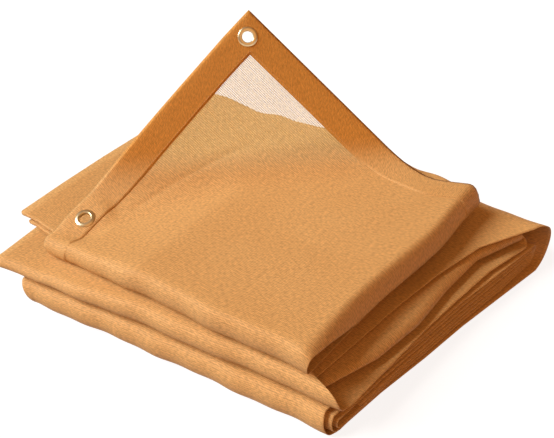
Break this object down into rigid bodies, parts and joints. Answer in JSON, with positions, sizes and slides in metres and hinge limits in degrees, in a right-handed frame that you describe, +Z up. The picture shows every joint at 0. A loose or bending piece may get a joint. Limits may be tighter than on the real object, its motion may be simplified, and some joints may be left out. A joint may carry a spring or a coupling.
{
  "type": "folded shade cloth with brass eyelets",
  "caption": "Knitted shade cloth folded to a packet, with a hemmed corner of its top layer raised and brass eyelets in the hem",
  "frame": {"origin": "middle of the packet's bounding box, at its underside", "axes": "+X along the folds, +Y from the front folds to the back, +Z up"},
  "size_m": [0.453, 0.3712, 0.2279],
  "materials": {
    "net": "knitted orange-tan polyethylene yarn, matt with a faint sheen, sheer in a single layer",
    "net_hem": "the same knitted net turned over and sewn double, darker and closed",
    "eyelet_brass": "bright stamped brass with rolled flanges"
  },
  "bodies": {
    "root": {"folded_cloth": "net", "corner_hem": "net_hem", "eyelet_corner": "eyelet_brass", "eyelet_side": "eyelet_brass"}
  },
  "joints": []
}
